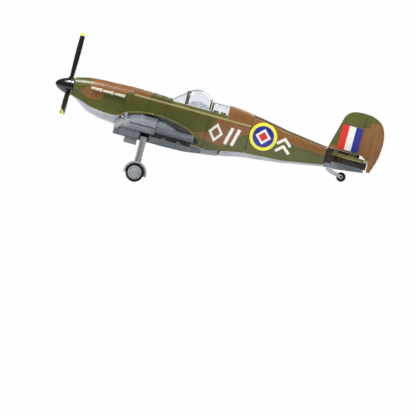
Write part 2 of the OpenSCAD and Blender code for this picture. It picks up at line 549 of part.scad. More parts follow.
// Tailplane: fixed plate with rounded leading corners, and an elevator on a hinge behind it
function plane_lead(y) = 262 + 14 * (1 - sqrt(max(0, 1 - pow(y / 54, 2))));
module tailplane(s) parked() side(s) difference() {
    union() {
        translate([0, 0, plane_z]) linear_extrude(plate_h) polygon([[262, fin_half + 0.05],
            each [for (y = [20 : 8 : 52]) [plane_lead(y), y]], [elevator_x + 4, 52],
            [elevator_x + 4, elevator_out + gap], [elevator_x - hinge_r - gap, elevator_out + gap],
            [elevator_x - hinge_r - gap, elevator_in - gap], [elevator_x + 2, elevator_in - gap],
            [elevator_x + 2, 6], [elevator_x - hinge_r - gap, 6],
            [elevator_x - hinge_r - gap, fin_half + 0.05]]);
        for (x = [266, 280]) for (y = [8 : pitch : 41]) stud([x, y, plane_z + plate_h - 0.1]);
    }
    translate([elevator_x, 0, plane_z + plate_h / 2]) rotate([-90, 0, 0])
        cylinder(r = pin_r + running, h = elevator_out + 3.2);
}
module tailplanes() color(olive) for (s = [-1, 1]) tailplane(s);
module elevator(s) parked() side(s) {
    translate([elevator_x, elevator_in, plane_z + plate_h / 2]) rotate([-90, 0, 0])
        cylinder(r = hinge_r, h = elevator_out - elevator_in);
    translate([elevator_x, 6.2, plane_z + plate_h / 2]) rotate([-90, 0, 0])
        cylinder(r = pin_r, h = elevator_out - 3.2);
    translate([0, 0, plane_z + 0.1]) linear_extrude(plate_h - 0.2) polygon([[elevator_x, elevator_in],
        [296, elevator_in], [296.5, 22], [295, 36], [elevator_x + 5.5, elevator_out],
        [elevator_x, elevator_out]]);
}
module elevator_left() color(olive) elevator(-1);
module elevator_right() color(olive) elevator(1);
// Grey wedge under the tail block
module tail_under_plates() color(grey) parked() translate([0, fin_half, 0]) rotate([90, 0, 0])
    linear_extrude(2 * fin_half) polygon([[tail_x + 0.3, -7.05], [keel_x + 0.05, -7.05],
        [keel_x + 0.05, keel_top - 0.05], [core_end, keel_top - 0.05], [core_end, -6.5],
        [core_end + 1, -7.4], [270, -10.6], [tail_x + 0.3, -11.2]]);
// Tail fork with its fixed axle
module tail_strut() color(pale) parked() {
    difference() {
        union() {
            for (y = [-3.4, 2]) hull() {
                translate([264, y, -13.2]) rotate([-90, 0, 0])
                    cylinder(r = 1.9, h = 1.4, $fn = hull_fn);
                translate([tail_wheel_x, y, tail_wheel_z]) rotate([-90, 0, 0])
                    cylinder(r = 1.7, h = 1.4, $fn = hull_fn);
            }
            block([260.5, -3.4, -13.2], [267, 3.4, -11.25]);
        }
        translate([tail_wheel_x, 5, tail_wheel_z]) rotate([90, 0, 0]) cylinder(r = 0.95, h = 10);
    }
    translate([tail_wheel_x, 3.6, tail_wheel_z]) rotate([90, 0, 0]) cylinder(r = 0.94, h = 7.2);
}
module tail_tyre() color("#181818") parked() translate([tail_wheel_x, 1.7, tail_wheel_z]) rotate([90, 0, 0])
    rotate_extrude() polygon([[2, 0], [tail_tyre_r - 0.6, 0], [tail_tyre_r, 0.7], [tail_tyre_r, 2.7],
        [tail_tyre_r - 0.6, 3.4], [2, 3.4]]);
module tail_hub() color(pale) parked() translate([tail_wheel_x, 1.7, tail_wheel_z]) rotate([90, 0, 0])
    difference() {
        cylinder(r = 2, h = 3.4);
        translate([0, 0, -1]) cylinder(r = 0.94 + running, h = 6);
    }

cowl_shells();
chin_fairing();
nose_ring();
nose_deck();
front_side_panels();
rear_side_panels();
tail_cone_shells();
spine_strip();
spine();
belly_rear();
bearing_brick();
core_bricks();
cockpit_tub();
cockpit_fittings();
cockpit_sill();
windscreen();
canopy_frames();
hood();
hood_frame();
rear_glazing();
spinner();
prop_shaft();
propeller_blades();
blade_tips();
exhaust_stubs();
wing_skin_left();
wing_skin_right();
aileron_left();
aileron_right();
wing_front_plates();
wing_rear_plates();
wing_beams();
gun_bays();
gun_muzzle_fairings();
wing_centre_blocks();
root_edges();
belly_centre();
radiator();
oil_cooler();
leg_brackets();
leg_pins();
gear_leg_left();
gear_leg_right();
mudguard_left();
mudguard_right();
wheel_rim_left();
wheel_rim_right();
tyre_left();
tyre_right();
tail_core();
fin();
rudder();
tailplanes();
elevator_left();
elevator_right();
tail_under_plates();
tail_strut();
tail_tyre();
tail_hub();
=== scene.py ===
"""Brick-built propeller fighter on its wheels, dressed for looking at."""
import json
import math

import bmesh
import bpy
from mathutils import Matrix, Vector

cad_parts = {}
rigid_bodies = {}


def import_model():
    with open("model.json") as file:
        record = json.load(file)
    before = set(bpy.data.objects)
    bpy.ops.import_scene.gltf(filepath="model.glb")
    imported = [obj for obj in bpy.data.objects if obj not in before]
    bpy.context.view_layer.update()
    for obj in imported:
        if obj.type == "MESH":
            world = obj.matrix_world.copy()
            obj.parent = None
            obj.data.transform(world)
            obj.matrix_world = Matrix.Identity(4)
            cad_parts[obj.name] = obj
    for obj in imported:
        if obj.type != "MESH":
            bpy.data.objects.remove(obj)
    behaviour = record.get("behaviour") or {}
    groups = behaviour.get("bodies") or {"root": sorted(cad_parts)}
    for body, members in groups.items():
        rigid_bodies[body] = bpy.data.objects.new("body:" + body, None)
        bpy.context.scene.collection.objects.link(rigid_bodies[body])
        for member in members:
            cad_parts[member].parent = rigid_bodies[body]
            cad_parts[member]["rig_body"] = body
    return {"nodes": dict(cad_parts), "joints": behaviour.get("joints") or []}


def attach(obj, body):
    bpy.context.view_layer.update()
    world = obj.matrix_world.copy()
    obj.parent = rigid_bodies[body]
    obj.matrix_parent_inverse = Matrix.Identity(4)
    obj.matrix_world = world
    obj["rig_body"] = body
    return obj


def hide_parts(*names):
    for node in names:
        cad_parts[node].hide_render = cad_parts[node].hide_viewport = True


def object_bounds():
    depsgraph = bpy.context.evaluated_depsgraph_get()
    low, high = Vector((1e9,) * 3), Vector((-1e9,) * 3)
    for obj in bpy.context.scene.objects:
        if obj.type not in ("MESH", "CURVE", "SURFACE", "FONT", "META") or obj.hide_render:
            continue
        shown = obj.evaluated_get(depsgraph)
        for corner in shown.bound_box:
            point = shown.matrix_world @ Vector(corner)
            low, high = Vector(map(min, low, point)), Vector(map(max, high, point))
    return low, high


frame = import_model()
cad_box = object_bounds()

# ---- The aircraft's own axes: aft along the thrust line, starboard and up, in millimetres ----
MM = 0.001
SPINNER_TO_BLADES = 13      # from the spinner's tip to the blades' plane
spin = next(j for j in frame["joints"] if j["name"] == "propeller_spin")
AFT = Vector(spin["axis"]).normalized()
STARBOARD = Vector((0, 1, 0))
UP = AFT.cross(STARBOARD)
TIP = Vector(spin["pos_m"]) - AFT * SPINNER_TO_BLADES * MM
STANCE = math.atan2(-AFT.z, AFT.x)
AIRCRAFT = (Matrix.Translation(TIP) @ Matrix((AFT, STARBOARD, UP)).transposed().to_4x4()
            @ Matrix.Scale(MM, 4))
PITCH = 8                   # between two studs
ROOT = Vector((0, 14, -21.5))    # where the wing's own frame starts, at the side of the body
DIHEDRAL = math.radians(5.2)
HALF_SPAN = 184
SPAR_X = 97                 # the line that the wing's oval outline is drawn from
LEAD_REACH = 36             # how far the outline goes ahead of that line at the root


def wing_axes(side):
    """One wing's frame, with y outboard along the dihedral. side: 1 starboard, -1 port."""
    tilt = (Matrix.Translation(ROOT) @ Matrix.Rotation(DIHEDRAL, 4, "X")
            @ Matrix.Translation((0, -ROOT.y, 0)))
    return AIRCRAFT @ Matrix.Diagonal((1, side, 1, 1)) @ tilt


def lead_x(y):
    """Place aft of the leading edge at a distance out along the wing."""
    return SPAR_X - LEAD_REACH * math.sqrt(max(0.0, 1 - (y / HALF_SPAN) ** 2))


# ---- Materials ----
def linear(code):
    """An sRGB hex colour as linear RGBA."""
    parts = [int(code[i:i + 2], 16) / 255 for i in (1, 3, 5)]
    return (*(c / 12.92 if c <= 0.04045 else ((c + 0.055) / 1.055) ** 2.4 for c in parts), 1.0)


OLIVE = linear("#575821")
BROWN = linear("#875C30")
GREY = linear("#7C838D")
PALE = linear("#B2B6BE")
WHITE = linear("#F2F2EE")
YELLOW = linear("#F2EE45")
BLUE = linear("#22299A")
RED = linear("#DE2A22")
BLACK = linear("#131313")
DARK = linear("#1C1D1B")
# Pale tan, used as a painted highlight on edges that face the light.
HIGHLIGHT_TAN = linear("#9A9160")


def add(tree, kind, inputs=None, **settings):
    """Adds a node, sets its properties, and fills or links its inputs."""
    made = tree.nodes.new(kind)
    for key, value in settings.items():
        setattr(made, key, value)
    for key, value in (inputs or {}).items():
        if isinstance(value, bpy.types.NodeSocket):
            tree.links.new(value, made.inputs[key])
        else:
            made.inputs[key].default_value = value
    return made


def new_material(name):
    made = bpy.data.materials.new(name)
    made.use_nodes = True
    made.node_tree.nodes.clear()
    return made, made.node_tree


def in_aircraft(tree):
    """Object coordinates turned to the aircraft's axes, in millimetres."""
    place = add(tree, "ShaderNodeTexCoord").outputs["Object"]
    back = AIRCRAFT.inverted().to_translation()
    return add(tree, "ShaderNodeMapping", {"Vector": place, "Location": back,
               "Rotation": (0, -STANCE, 0), "Scale": (1 / MM,) * 3}).outputs[0]


def mixed(tree, share, a, b):
    """Colour b over colour a by a share."""
    return add(tree, "ShaderNodeMix", {0: share, 6: a, 7: b}, data_type="RGBA").outputs[2]


def calc(tree, what, a, b=0.0):
    return add(tree, "ShaderNodeMath", {0: a, 1: b}, operation=what).outputs[0]


def ranged(tree, value, given, wanted):
    """Carries a value from one range to another, and holds it at both ends."""
    return add(tree, "ShaderNodeMapRange", {0: value, 1: given[0], 2: given[1],
               3: wanted[0], 4: wanted[1]}).outputs[0]


def noise(tree, place, scale, detail):
    return add(tree, "ShaderNodeTexNoise", {"Vector": place, "Scale": scale,
               "Detail": detail}).outputs[0]


def bumped(tree, height, strength, depth):
    """Relief of a depth in metres."""
    return add(tree, "ShaderNodeBump", {"Height": height, "Strength": strength,
               "Distance": depth}).outputs[0]


def surfaced(made, tree, **inputs):
    """Ends a material in one shell, whose inputs are named with low lines for spaces."""
    named = {key.replace("_", " "): value for key, value in inputs.items()}
    shell = add(tree, "ShaderNodeBsdfPrincipled", named)
    add(tree, "ShaderNodeOutputMaterial", {"Surface": shell.outputs[0]})
    return made


def edge_highlight_and_flow(tree, base, highlight_amount):
    """Painted highlight along convex edges, and a little uneven where the melt flowed."""
    place = in_aircraft(tree)
    bend = add(tree, "ShaderNodeNewGeometry").outputs["Pointiness"]
    # Painted highlight: lighter where the surface bends outward.
    edge = ranged(tree, bend, (0.52, 0.62), (0.0, highlight_amount))
    tone = ranged(tree, noise(tree, place, 0.11, 3.0), (0.3, 0.7), (0.9, 1.08))
    value = calc(tree, "ADD", tone, edge)
    return add(tree, "ShaderNodeHueSaturation", {"Color": base, "Value": value}).outputs[0], place


def moulded_abs(name, colour, gloss=0.3, edge=0.25, grain=0.025, clear_coat=0.0):
    """Injection-moulded ABS: soft gloss with faint orange peel, and a painted highlight on convex
    edges, whose strength edge sets.
    """
    made, tree = new_material(name)
    base, place = edge_highlight_and_flow(tree, colour(tree) if callable(colour) else colour, edge)
    peel = bumped(tree, noise(tree, place, 0.9, 2.0), grain, 0.0004)
    rubbed = noise(tree, place, 0.35, 5.0)
    rough = ranged(tree, rubbed, (0.35, 0.65), (gloss * 0.75, gloss * 1.35))
    return surfaced(made, tree, Base_Color=base, Roughness=rough, Normal=peel, IOR=1.53,
                    Coat_Weight=clear_coat, Coat_Roughness=0.12)


# ---- Printed pattern: borders, marks and bars in the aircraft's millimetres ----
def parts_of(tree, vector):
    return add(tree, "ShaderNodeSeparateXYZ", {0: vector}).outputs


def both(tree, a, b):
    return calc(tree, "MULTIPLY", a, b)


def over(tree, a, b):
    return calc(tree, "GREATER_THAN", a, b)


def under(tree, a, b):
    return calc(tree, "LESS_THAN", a, b)


def border(tree, along, points):
    """Height of a painted border at each place along it, through the points given."""
    lo, hi = points[0][0], points[-1][0]
    low, high = min(p[1] for p in points) - 1, max(p[1] for p in points) + 1
    place = ranged(tree, along, (lo, hi), (0.0, 1.0))
    line = add(tree, "ShaderNodeFloatCurve", {"Value": place})
    curve = line.mapping.curves[0]
    spots = [((x - lo) / (hi - lo), (y - low) / (high - low)) for x, y in points]
    curve.points[0].location, curve.points[1].location = spots[0], spots[-1]
    for spot in spots[1:-1]:
        curve.points.new(*spot)
    line.mapping.update()
    return ranged(tree, line.outputs[0], (0.0, 1.0), (low, high))


def mark(tree, flat, centre, half, form="round", lean=0.0):
    """How far a point is from a mark's middle, where 1 is its edge: round, diamond or bar."""
    local = add(tree, "ShaderNodeMapping", {"Vector": flat, "Location": (*centre, 0),
                "Rotation": (0, 0, math.radians(lean)), "Scale": (*half, 1)},
                vector_type="TEXTURE").outputs[0]
    size = add(tree, "ShaderNodeVectorMath", {0: local}, operation="ABSOLUTE").outputs[0]
    if form == "round":
        return add(tree, "ShaderNodeVectorMath", {0: local}, operation="LENGTH").outputs["Value"]
    x, y, _ = parts_of(tree, size)
    return calc(tree, "ADD" if form == "diamond" else "MAXIMUM", x, y)


def inside(tree, distance, edge=1.0):
    return under(tree, distance, edge)


def flat_point(tree):
    """Place aft, height, and both as one point, for marks printed on the sides."""
    u, _, w = parts_of(tree, in_aircraft(tree))
    return u, w, add(tree, "ShaderNodeCombineXYZ", {0: u, 1: w}).outputs[0]


def side_only(tree, mask):
    """Keeps a printed mark to the faces that look sideways."""
    facing = parts_of(tree, add(tree, "ShaderNodeTexCoord").outputs["Normal"])[1]
    return both(tree, mask, over(tree, calc(tree, "ABSOLUTE", facing), 0.5))


def any_of(tree, masks):
    joined = masks[0]
    for mask in masks[1:]:
        joined = calc(tree, "MAXIMUM", joined, mask)
    return joined


# Hull pattern: where brown starts over the nose, and the band of brown behind the cockpit
RIDGE = [(30, 40), (31.5, 5.5), (33, -2), (42, -3), (46, 4.2), (52, 5.2), (65, 6), (67, 8.5),
         (87, 8.5), (89, 40)]
AFT_TOP = [(134, -12), (137, -10.7), (147, -7.8), (149.5, -2), (153, 6), (154.5, 40), (262, 40)]
AFT_LOW = [(134, -11.8), (150, -16), (161, -17), (170, -11), (176, -5), (185, -0.4), (228, 0.4),
           (262, -1.6)]
NOSE_PATCH = (35.6, -0.5), (10.2, 5.4)      # middle and half size of a brown oval
# White marks: a hollow diamond, then the middle, half size and lean of each slanted bar
DIAMOND = (154.2, -6.4), (6.9, 8.8)
DIAMOND_HOLE = 0.6          # as a share of its size
BARS = [((166.6, -6.4), (1.5, 8.3), -14), ((173, -6.4), (1.5, 8.3), -14),
        ((214.6, 1.4), (1.3, 4.6), -48), ((220.6, 1.4), (1.3, 4.6), 48),
        ((214.6, -5.4), (1.3, 4.6), -48), ((220.6, -5.4), (1.3, 4.6), 48)]
DISC = (197.5, 1.2)
DISC_LAYERS = [(12.8, "round", YELLOW), (9.9, "round", BLUE), (7.4, "diamond", WHITE),
               (4.6, "diamond", RED)]       # half size, form and colour, from the outside in


def hull_print(tree):
    """Olive with brown patches, and made-up white and coloured marks along the side."""
    u, w, flat = flat_point(tree)
    nose = over(tree, w, border(tree, u, RIDGE))
    oval = inside(tree, mark(tree, flat, *NOSE_PATCH))
    band = both(tree, under(tree, w, border(tree, u, AFT_TOP)),
                over(tree, w, border(tree, u, AFT_LOW)))
    base = mixed(tree, any_of(tree, [nose, oval, band]), OLIVE, BROWN)
    diamond = mark(tree, flat, *DIAMOND, "diamond")
    hollow = both(tree, inside(tree, diamond), over(tree, diamond, DIAMOND_HOLE))
    bars = [inside(tree, mark(tree, flat, *bar[:2], "bar", bar[2])) for bar in BARS]
    layers = [(any_of(tree, [hollow] + bars), WHITE)]
    layers += [(inside(tree, mark(tree, flat, DISC, (half, half), form)), colour)
               for half, form, colour in DISC_LAYERS]
    for mask, colour in layers:
        base = mixed(tree, side_only(tree, mask), base, colour)
    return base


def hull_print_with_highlight(tree):
    """The hull pattern, with tan as a painted highlight on faces that turn upward, such as the
    upper chamfer.
    """
    up = parts_of(tree, add(tree, "ShaderNodeTexCoord").outputs["Normal"])[2]
    return mixed(tree, over(tree, up, 0.4), hull_print(tree), HIGHLIGHT_TAN)


# Wing pattern: spanwise place of each border against the place aft, one pair a side
STARBOARD_INNER = [(55, 43), (70, 45), (85, 58), (100, 68), (120, 74), (145, 66)]
STARBOARD_OUTER = [(55, 112), (75, 114), (95, 128), (115, 139), (145, 147)]
PORT_INNER = [(55, 50), (75, 47), (95, 38), (115, 46), (145, 60)]
PORT_OUTER = [(55, 112), (75, 110), (95, 97), (115, 104), (145, 118)]


def wing_print(tree):
    """Wavy olive and brown bands over the wing."""
    u, v, _ = parts_of(tree, in_aircraft(tree))
    span = calc(tree, "ABSOLUTE", v)
    starboard = over(tree, v, 0.0)
    outside = any_of(tree, [over(tree, span, border(tree, u, STARBOARD_OUTER)),
                            under(tree, span, border(tree, u, STARBOARD_INNER))])
    between = both(tree, over(tree, span, border(tree, u, PORT_INNER)),
                   under(tree, span, border(tree, u, PORT_OUTER)))
    shade = add(tree, "ShaderNodeMix", {0: starboard, 2: between, 3: outside}).outputs[0]
    return mixed(tree, shade, OLIVE, BROWN)


# The tailplane's pale lower rim is a painted highlight along its lower edge.
PLANE_HIGHLIGHT_TOP = 2.0             # height that the tailplane's pale lower rim reaches


def plane_print_highlit(tree):
    """Olive, with a pale lower rim that is a painted highlight."""
    w = parts_of(tree, in_aircraft(tree))[2]
    return mixed(tree, side_only(tree, under(tree, w, PLANE_HIGHLIGHT_TOP)), OLIVE, HIGHLIGHT_TAN)


CAP = [(250, 33.6), (290.4, 33.6), (291.2, 39), (312, 39)]      # lower edge of the olive cap
RUDDER_EDGE = 284.7         # place aft where the brown starts
FIN_FOOT = (262, 6.5), (12, 4.2)            # middle and half size
FIN_BARS = [(268.9, RED), (275.2, WHITE), (281.5, BLUE)]


def tail_print(tree):
    """Olive root and cap, brown behind, and three plain colour bars."""
    u, w, flat = flat_point(tree)
    behind = both(tree, under(tree, w, border(tree, u, CAP)), over(tree, u, RUDDER_EDGE))
    foot = inside(tree, mark(tree, flat, *FIN_FOOT, "bar"))
    base = mixed(tree, any_of(tree, [behind, foot]), OLIVE, BROWN)
    for middle, colour in FIN_BARS:
        bar = inside(tree, mark(tree, flat, (middle, 20.2), (3.15, 11.3), "bar"))
        base = mixed(tree, side_only(tree, bar), base, colour)
    return base


def clear_styrene(name, tint, rim, haze):
    """Moulded clear styrene: sharp reflections, and a painted reflection as a grey rim where the
    wall is seen edge on.
    """
    made, tree = new_material(name)
    slope = add(tree, "ShaderNodeLayerWeight", {"Blend": 0.35}).outputs["Facing"]
    # tone: the painted reflection, grey towards where the wall is seen edge on.
    tone = mixed(tree, ranged(tree, slope, (0.35, 0.95), (0.0, 1.0)), tint, rim)
    place = in_aircraft(tree)
    ripple = bumped(tree, noise(tree, place, 0.12, 1.0), 0.12, 0.0006)
    smeared = ranged(tree, noise(tree, place, 0.5, 4.0), (0.3, 0.7), (haze, haze * 3))
    return surfaced(made, tree, Base_Color=tone, Roughness=smeared, Normal=ripple, IOR=1.25,
                    Transmission_Weight=1.0, Coat_Weight=0.5, Coat_Roughness=0.03)


def tyre_rubber(name):
    """Moulded soft rubber: near black, dull, with dust in the fine grain."""
    made, tree = new_material(name)
    grain = noise(tree, in_aircraft(tree), 2.2, 6.0)
    dust = ranged(tree, grain, (0.42, 0.75), (0.0, 0.35))
    base = mixed(tree, dust, linear("#101010"), linear("#3A3A38"))
    rough = ranged(tree, grain, (0.0, 1.0), (0.5, 0.8))
    return surfaced(made, tree, Base_Color=base, Roughness=rough, IOR=1.5, Sheen_Weight=0.15,
                    Normal=bumped(tree, grain, 0.35, 0.0003))


def drum_lacquered(name, colour, streak, metal):
    """ABS with a silver drum lacquer: pearly, streaked along the part where it flowed."""
    made, tree = new_material(name)
    stretched = add(tree, "ShaderNodeVectorMath", {0: in_aircraft(tree), 1: (0.1, 1.4, 1.4)},
                    operation="MULTIPLY").outputs[0]
    flow = noise(tree, stretched, 0.8, 4.0)
    base = mixed(tree, ranged(tree, flow, (0.35, 0.65), (0.0, 1.0)), colour, streak)
    return surfaced(made, tree, Base_Color=base, Roughness=0.3, Metallic=metal,
                    Normal=bumped(tree, flow, 0.12, 0.0003))


def instrument_print(tree):
    """White ticks round each dial on the black panel, as on any gauge."""
    _, v, w = parts_of(tree, in_aircraft(tree))
    face = add(tree, "ShaderNodeCombineXYZ", {0: v, 1: w}).outputs[0]
    base = BLACK
    for middle in (-3.4, 0, 3.4):
        reach = mark(tree, face, (middle, 5), (1.4, 1.4))
        ring = both(tree, inside(tree, reach, 0.95), over(tree, reach, 0.72))
        base = mixed(tree, ring, base, WHITE)
    return base


printed_shell = moulded_abs("printed_abs_hull_shell", hull_print, gloss=0.3, clear_coat=0.06)
printed_panel_highlit = moulded_abs("printed_abs_side_panel_painted_highlight", hull_print_with_highlight, gloss=0.3, clear_coat=0.06)
printed_plane_highlit = moulded_abs("printed_abs_tailplane_painted_highlight", plane_print_highlit)
printed_wing = moulded_abs("printed_abs_wing_slope", wing_print, gloss=0.3, clear_coat=0.05)
printed_tail = moulded_abs("printed_abs_tail_tile", tail_print, gloss=0.32, clear_coat=0.05)
olive_abs = moulded_abs("moulded_abs_olive", OLIVE)
brown_abs = moulded_abs("moulded_abs_brown", BROWN)
outline_grey_abs = moulded_abs("painted_reflection_grey", linear("#7D848A"))
highlight_tan_abs = moulded_abs("painted_highlight_tan_olive", HIGHLIGHT_TAN)
frame_abs = moulded_abs("moulded_abs_dark_olive", linear("#3F421D"))
lilac_abs = moulded_abs("moulded_abs_pale_lilac", linear("#E6E8F0"))
grey_abs = moulded_abs("moulded_abs_blue_grey", GREY, gloss=0.3, grain=0.008)
pale_abs = moulded_abs("moulded_abs_light_grey", PALE, gloss=0.28, grain=0.008)
dark_abs = moulded_abs("moulded_abs_dark", DARK, gloss=0.3)
bright_abs = moulded_abs("moulded_abs_near_white_grey", linear("#DDE0E4"), gloss=0.25)
# Near black, a painted shade for the wing skins' downward faces over the dark slot.
shade_black_abs = moulded_abs("painted_shade_black_underside", linear("#0A0A09"), gloss=0.74)
umber_abs = moulded_abs("moulded_abs_dark_brown", linear("#2B2018"), gloss=0.3)
black_abs = moulded_abs("polished_abs_black", BLACK, gloss=0.14, grain=0.03, clear_coat=0.5)
yellow_abs = moulded_abs("printed_abs_yellow_tip", YELLOW)
fitting_abs = moulded_abs("printed_abs_cockpit_black", instrument_print)
glazing = clear_styrene("clear_styrene_glazing", linear("#F4F7FA"), linear("#6F777E"), 0.02)
rubber = tyre_rubber("moulded_rubber_tyre")
ivory_lacquer = drum_lacquered("lacquered_abs_ivory_silver", linear("#CFC8B0"),
                               linear("#F4F0DE"), 0.35)
steel_lacquer = drum_lacquered("lacquered_abs_gunmetal", linear("#6E747B"), linear("#9BA1A8"), 0.4)
silver_lacquer = drum_lacquered("lacquered_abs_silver", linear("#B9BEC4"), linear("#E4E8EC"), 0.7)


# ---- Meshes ----
SHARP = math.radians(30)    # edges steeper than this are softened and shade as edges
FLAT = math.radians(0.4)    # faces within this are joined into one
BEYOND = 900.0              # further than any part reaches


def place_piece(name, bm, body, material, nodes=(), bevel=0.2, other=None):
    """Puts a finished mesh in the scene on its body, for the CAD nodes it stands for.

    other gives a second material, and a test of a face's place and outward way: faces
    that pass it take that material.
    """
    bmesh.ops.recalc_face_normals(bm, faces=bm.faces)
    for face in bm.faces:
        face.smooth = True
    mesh = bpy.data.meshes.new(name)
    bm.to_mesh(mesh)
    bm.free()
    mesh.set_sharp_from_angle(angle=SHARP)
    mesh.materials.append(material)
    if other:
        mesh.materials.append(other[0])
        back = AIRCRAFT.inverted()
        for face in mesh.polygons:
            face.material_index = int(other[1](back @ face.center, face.normal))
    made = bpy.data.objects.new(name, mesh)
    bpy.context.scene.collection.objects.link(made)
    if bevel:
        edge = made.modifiers.new("soft_edge", "BEVEL")
        edge.width, edge.segments = bevel * MM, 2
        edge.limit_method, edge.angle_limit = "ANGLE", SHARP
        edge.harden_normals = True
    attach(made, body)
    if nodes:
        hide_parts(*nodes)
    return made


def node_mesh(node):
    """A welded copy of a CAD node's mesh, with its flat faces joined up."""
    bm = bmesh.new()
    bm.from_mesh(frame["nodes"][node].data)
    bmesh.ops.remove_doubles(bm, verts=bm.verts, dist=1e-6)
    bmesh.ops.dissolve_limit(bm, angle_limit=FLAT, verts=bm.verts, edges=bm.edges)
    return bm


def cut_in_chunks(bm, direction, places):
    """Splits a solid into chunks that touch, at places along a direction from the spinner's tip."""
    whole = bmesh.new()
    ends = [-BEYOND] + list(places) + [BEYOND]
    for low, high in zip(ends, ends[1:]):
        chunk = bm.copy()
        for at, way in ((low, -1), (high, 1)):
            everything = chunk.verts[:] + chunk.edges[:] + chunk.faces[:]
            cut = bmesh.ops.bisect_plane(chunk, geom=everything, plane_co=TIP + direction * at * MM,
                                         plane_no=direction * way, clear_outer=True)
            rim = [e for e in cut["geom_cut"] if isinstance(e, bmesh.types.BMEdge)]
            if rim:
                bmesh.ops.triangle_fill(chunk, use_beauty=True, edges=rim)
        if chunk.faces:
            spare = bpy.data.meshes.new("spare")
            chunk.to_mesh(spare)
            whole.from_mesh(spare)
            bpy.data.meshes.remove(spare)
        chunk.free()
    bm.free()
    bmesh.ops.dissolve_limit(whole, angle_limit=FLAT, verts=whole.verts, edges=whole.edges)
    return whole


def dress(node, material, cuts=(), bevel=0.2, other=None):
    """Stands in for a CAD node: its welded copy, split along its panel joints, edges softened."""
    bm = node_mesh(node)
    for direction, places in cuts:
        bm = cut_in_chunks(bm, direction, places)
    body = frame["nodes"][node]["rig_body"]
    return place_piece(node + "_finished", bm, body, material, [node], bevel, other)


def loft(bm, rings, matrix, closed=True):
    """Skins rings of points, given in millimetres in the matrix's frame, and caps both ends."""
    rows = [[bm.verts.new(matrix @ Vector(p)) for p in ring] for ring in rings]
    count = len(rows[0])
    for a, b in zip(rows, rows[1:]):
        for i in range(count):
            j = (i + 1) % count
            bm.faces.new((a[i], a[j], b[j], b[i]))
    if closed:
        bm.faces.new(rows[0])
        bm.faces.new(rows[-1])
    return bm


def turned(bm, outline, matrix, count=48, closed=False):
    """A turned solid about the x axis: outline gives (along, radius) points from end to end."""
    turns = [2 * math.pi * i / count for i in range(count)]
    rings = [[(x, r * math.cos(t), r * math.sin(t)) for t in turns] for x, r in outline]
    if closed:
        rings.append(rings[0])
    return loft(bm, rings, matrix, closed=not closed)


def curve_through(points, x):
    """Height at x on a smooth line through the points."""
    last = len(points) - 2
    i = next((k for k, p in enumerate(points[1:]) if x <= p[0]), last)
    (x0, y0), (x1, y1) = points[i], points[i + 1]
    before = points[max(i - 1, 0)]
    after = points[min(i + 2, len(points) - 1)]
    t = (x - x0) / (x1 - x0)
    m0 = (y1 - before[1]) / (x1 - before[0]) * (x1 - x0)
    m1 = (after[1] - y0) / (after[0] - x0) * (x1 - x0)
    return ((2 * t**3 - 3 * t**2 + 1) * y0 + (t**3 - 2 * t**2 + t) * m0
            + (3 * t**2 - 2 * t**3) * y1 + (t**3 - t**2) * m1)


def spread(a, b, count):
    return [a + (b - a) * i / count for i in range(count + 1)]


def box_between(bm, low, high, matrix):
    """A brick-shaped block between two corners, in the matrix's frame."""
    (x0, y0, z0), (x1, y1, z1) = low, high
    ends = [[(x, y0, z0), (x, y1, z0), (x, y1, z1), (x, y0, z1)] for x in (x0, x1)]
    return loft(bm, ends, matrix)


def stud(bm, place, matrix, radius, height):
    """One stud: a low round boss with a softened rim."""
    count, rim, soft = 20, 0.25, 0.07
    rings = []
    for h, r in ((0, radius), (height - rim, radius), (height - soft, radius - soft),
                 (height, radius - rim)):
        turns = [2 * math.pi * i / count for i in range(count)]
        rings.append([Vector(place) + Vector((r * math.cos(t), r * math.sin(t), h)) for t in turns])
    return loft(bm, rings, matrix)


# ---- Hull ----
# Dark plates just inside the panel joints: place aft, lowest and highest reach
LINERS = [(72.9, -14.5, 12), (80.9, -18, 12.6), (88.9, -19.5, 12.6), (96.9, -19.5, 12.4),
          (104.9, -20, 12.2), (144.9, -24, 7.2), (161.5, -25.5, 0), (184.5, -16.4, 16),
          (256.9, -9, 5.6)]
LINER_HALF = 1.6, 3.2       # half length and half width
WING_LINER = (98, -40.6, -23.65), (134, 40.6, -21.3)    # over the slots between the centre blocks


def joint_liners():
    """Closes the joints between panels against the light, as the bricks inside do."""
    bm = bmesh.new()
    for at, low, high in LINERS:
        long, wide = LINER_HALF
        box_between(bm, (at - long, -wide, low), (at + long, wide, high), AIRCRAFT)
    box_between(bm, *WING_LINER, AIRCRAFT)
    place_piece("joint_liners", bm, "airframe", dark_abs, bevel=0.15)


# The side panels' upper edge: place aft, half width and height
SHOULDER = [(73.1, 13.6, 8.8), (90, 13.8, 8.69), (110, 13.95, 8.57), (130, 13.75, 8.44),
            (150, 13.35, 8.32), (168, 12.6, 8.2), (184.3, 12.0, 8.1)]


def shoulder_strips():
    """Strip along each shoulder, over the joint between the deck and the side panels, pale tan as a
    painted highlight.
    """
    corner = ((-1.6, -0.7), (-1.6, 0.1), (-0.8, 0.2), (0.08, -0.75), (0.15, -1.7), (-0.3, -1.7))
    bm = bmesh.new()
    for side in (-1, 1):
        rings = [[(x, side * (y + a), z + b) for a, b in corner] for x, y, z in SHOULDER]
        loft(bm, rings, AIRCRAFT)
    place_piece("shoulder_strips", bm, "airframe", highlight_tan_abs, bevel=0.1)


